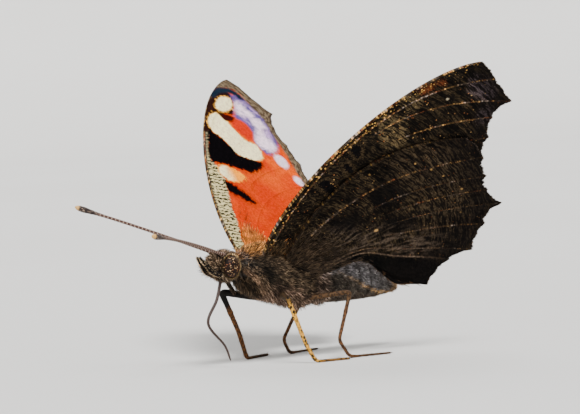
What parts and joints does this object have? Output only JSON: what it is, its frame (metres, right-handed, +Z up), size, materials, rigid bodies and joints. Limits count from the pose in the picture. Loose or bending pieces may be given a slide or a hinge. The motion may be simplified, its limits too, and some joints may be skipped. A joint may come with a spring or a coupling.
{
  "type": "peacock butterfly",
  "caption": "Life-size still model of a peacock butterfly standing on its walking legs with its wings held up in a wide V.",
  "frame": {"origin": "On the floor, below the middle of the whole insect's box.", "axes": "+X towards the tail, -X towards the head, -Y the insect's left, +Y its right, +Z up."},
  "size_m": [0.0404, 0.0426, 0.0298],
  "materials": {
    "thorax_coat": "matte",
    "head_coat": "matte",
    "abdomen_plates": "satin",
    "eye_lenses": "gloss",
    "antenna_shaft": "matte",
    "tongue": "satin",
    "leg_scales": "matte",
    "wing_membrane": "matte"
  },
  "bodies": {
    "root": {"abdomen": "abdomen_plates", "antenna_left": "antenna_shaft", "antenna_right": "antenna_shaft", "eye_left": "eye_lenses", "eye_right": "eye_lenses", "femur_hind_left": "leg_scales", "femur_hind_right": "leg_scales", "femur_mid_left": "leg_scales", "femur_mid_right": "leg_scales", "foreleg_left": "leg_scales", "foreleg_right": "leg_scales", "forewing_left": "wing_membrane", "forewing_right": "wing_membrane", "head": "head_coat", "hindwing_left": "wing_membrane", "hindwing_right": "wing_membrane", "palp_left": "head_coat", "palp_right": "head_coat", "proboscis_lower": "tongue", "proboscis_upper": "tongue", "prothorax": "thorax_coat", "tarsus_hind_left": "leg_scales", "tarsus_hind_right": "leg_scales", "tarsus_mid_left": "leg_scales", "tarsus_mid_right": "leg_scales", "thorax": "thorax_coat", "tibia_hind_left": "leg_scales", "tibia_hind_right": "leg_scales", "tibia_mid_left": "leg_scales", "tibia_mid_right": "leg_scales"}
  },
  "joints": []
}
